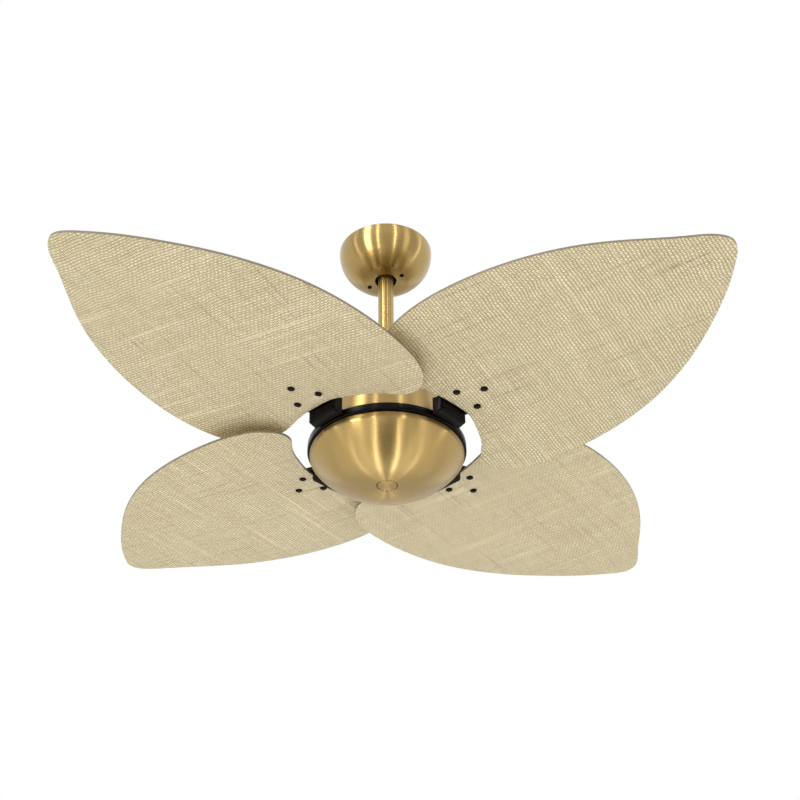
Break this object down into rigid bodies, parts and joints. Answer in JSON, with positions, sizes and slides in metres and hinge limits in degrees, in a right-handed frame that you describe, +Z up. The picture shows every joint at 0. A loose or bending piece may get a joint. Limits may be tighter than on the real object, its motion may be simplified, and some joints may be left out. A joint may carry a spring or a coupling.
{
  "type": "ceiling fan",
  "caption": "Ceiling fan with broad woven leaf blades on black arms, a brushed brass domed motor body, a down rod and a bowl shaped ceiling canopy.",
  "frame": {"origin": "centre of the ceiling bracket's top face, where it meets the ceiling", "axes": "+Z up, out of the ceiling face; X along the line of the two ceiling screws; the fan hangs below the origin"},
  "size_m": [0.7658, 0.7658, 0.3838],
  "materials": {
    "brushed_brass": "brushed, satin",
    "black_enamel": "gloss",
    "woven_fibre": "woven natural fibre bonded to a thin wooden core",
    "zinc_steel": "zinc plated",
    "ground_steel": "ground",
    "core_steel": "laminated",
    "cast_aluminium": "cast",
    "copper_winding": "enamelled wire",
    "black_rubber": "moulded",
    "black_plastic": "moulded",
    "terminal_brass": "turned",
    "lead_insulation": "extruded"
  },
  "bodies": {
    "ceiling_mount": {"ceiling_bracket": "zinc_steel", "hanger_bolt": "zinc_steel", "hanger_nut": "zinc_steel", "hanger_split_pin": "zinc_steel", "hanger_bushes": "black_rubber", "terminal_block": "black_plastic", "terminal_screws": "terminal_brass", "canopy": "brushed_brass", "canopy_screws": "black_enamel"},
    "hung_frame": {"down_rod": "brushed_brass", "rod_coupling": "zinc_steel", "coupling_bolt": "zinc_steel", "coupling_nut": "zinc_steel", "coupling_split_pin": "zinc_steel", "shaft_grub_screws": "zinc_steel", "motor_shaft": "ground_steel", "stator_core": "core_steel", "stator_windings": "copper_winding", "motor_leads": "lead_insulation", "upper_bearing_inner": "ground_steel", "lower_bearing_inner": "ground_steel", "upper_housing": "brushed_brass", "housing_screws": "zinc_steel", "coupling_cover": "brushed_brass", "dome_cover": "brushed_brass", "dome_spacer": "zinc_steel", "dome_nut": "zinc_steel", "dome_cap": "brushed_brass"},
    "rotor": {"rotor_upper_shell": "cast_aluminium", "rotor_lower_shell": "cast_aluminium", "rotor_shell_screws": "zinc_steel", "rotor_cage": "core_steel", "rotor_ring": "black_enamel", "upper_bearing_outer": "ground_steel", "lower_bearing_outer": "ground_steel", "upper_bearing_balls": "ground_steel", "lower_bearing_balls": "ground_steel", "blade_iron_1": "black_enamel", "blade_iron_2": "black_enamel", "blade_iron_3": "black_enamel", "blade_iron_4": "black_enamel", "iron_screws": "black_enamel", "blade_1": "woven_fibre", "blade_2": "woven_fibre", "blade_3": "woven_fibre", "blade_4": "woven_fibre", "blade_screws": "black_enamel"}
  },
  "joints": [
    {"name": "rod_swing", "type": "hinge", "parent": "ceiling_mount", "child": "hung_frame", "pos_m": [0, 0, -0.024], "axis": [0.866, -0.5, 0], "range_deg": [-8, 8]},
    {"name": "rotor_spin", "type": "hinge", "parent": "hung_frame", "child": "rotor", "pos_m": [0, 0, -0.327], "axis": [0, 0, 1], "continuous": true}
  ]
}
